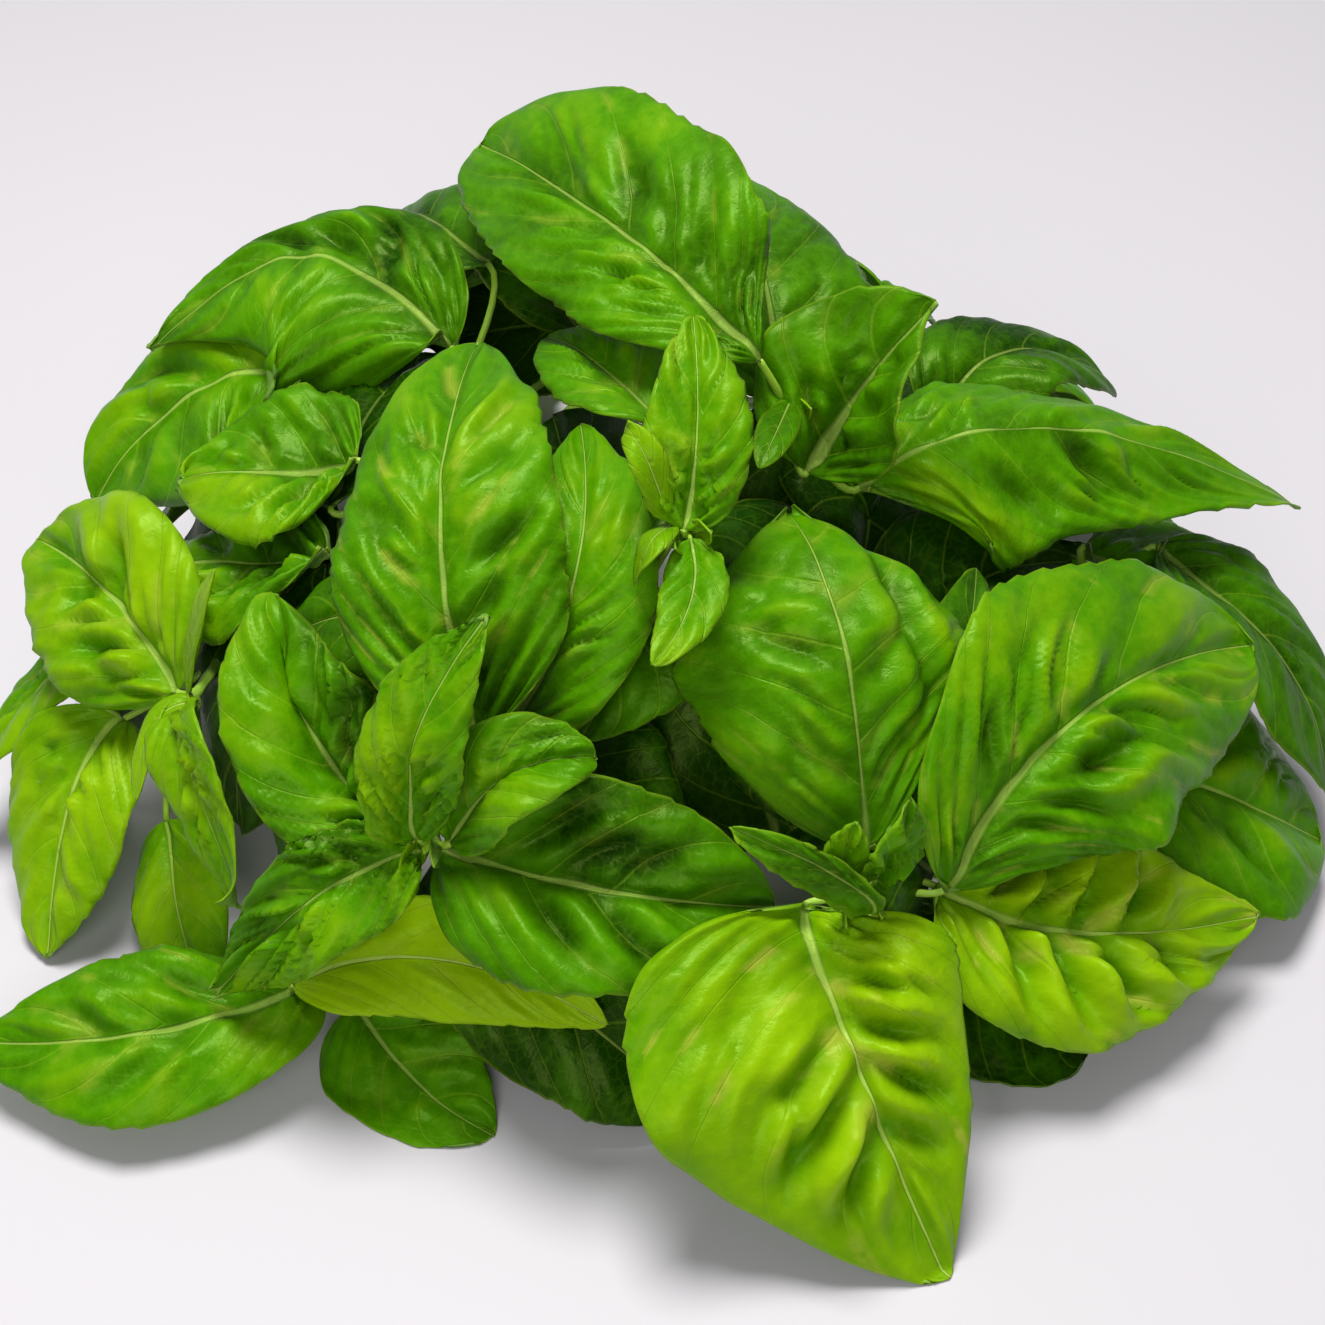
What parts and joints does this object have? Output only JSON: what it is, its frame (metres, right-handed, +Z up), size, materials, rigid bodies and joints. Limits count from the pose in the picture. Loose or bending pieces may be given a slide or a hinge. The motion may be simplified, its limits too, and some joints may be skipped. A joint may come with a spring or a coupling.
{
  "type": "basil bunch",
  "caption": "Bunch of cut basil lying on a surface: leafy stems gathered at the back, with broad glossy leaves heaped over them in a low dome.",
  "frame": {"origin": "middle of the bunch's footprint, on the surface it lies on", "axes": "+Z up, -Y towards the leafy front, +Y towards the cut ends of the stems, +X to the right seen from the front"},
  "size_m": [0.358, 0.3684, 0.1611],
  "materials": {
    "leaf_deep": "glossy deep green leaf",
    "leaf_mid": "glossy mid green leaf",
    "leaf_bright": "glossy yellow-green young leaf"
  },
  "bodies": {
    "root": {"sprig_back": "leaf_deep", "sprig_centre": "leaf_bright", "sprig_front_right": "leaf_mid", "sprig_front_left": "leaf_mid", "sprig_low_front": "leaf_bright", "sprig_left": "leaf_bright", "sprig_upper_left": "leaf_mid", "sprig_right": "leaf_deep", "sprig_back_left": "leaf_mid", "sprig_back_right": "leaf_deep"}
  },
  "joints": []
}
